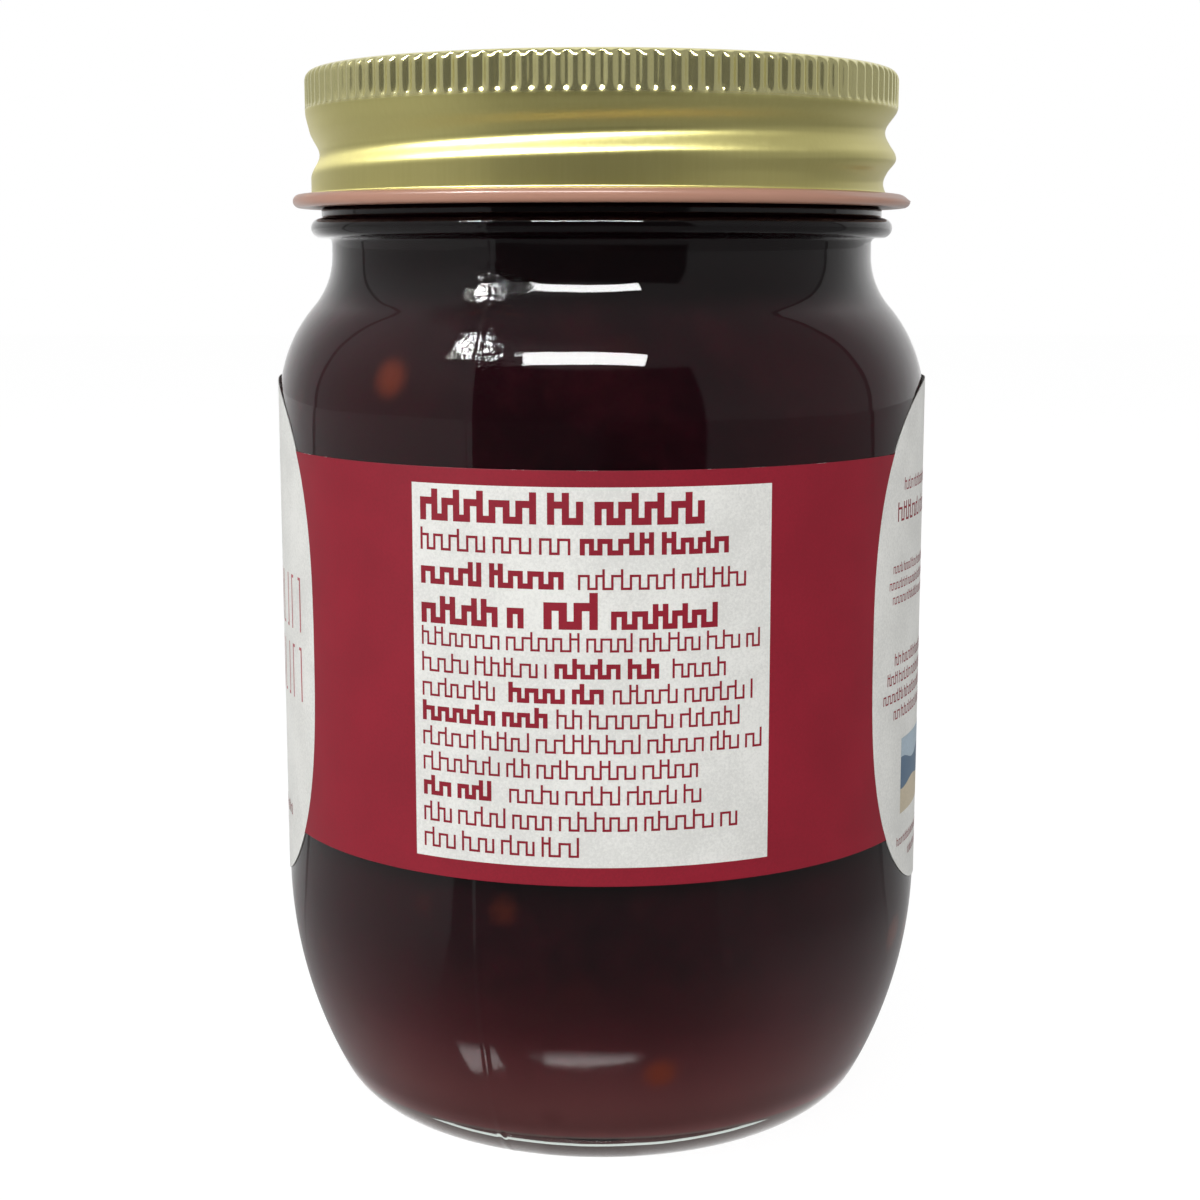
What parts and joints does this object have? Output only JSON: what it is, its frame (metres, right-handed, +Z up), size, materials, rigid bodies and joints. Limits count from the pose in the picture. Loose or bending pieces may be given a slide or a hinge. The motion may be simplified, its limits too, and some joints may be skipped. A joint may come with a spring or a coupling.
{
  "type": "sauce jar",
  "caption": "Pint-sized clear glass jar of dark fruit sauce with a gold one-piece screw lid and a red and white wrap label.",
  "frame": {"origin": "centre of the jar's base, on the surface it stands on", "axes": "+Z up along the jar's axis; -Y is the side of the printed table panel"},
  "size_m": [0.0804, 0.0806, 0.1285],
  "materials": {
    "clear_glass": "clear flint glass, smooth",
    "sauce": "dark maroon fruit sauce, glossy",
    "gold_lacquer": "satin gold lacquer on brushed tinplate, pale pink lining showing at the curl",
    "label_paper": "coated paper with a soft sheen, deep red with white panels"
  },
  "bodies": {
    "root": {"glass_jar": "clear_glass", "sauce": "sauce", "lid": "gold_lacquer", "label": "label_paper"}
  },
  "joints": []
}
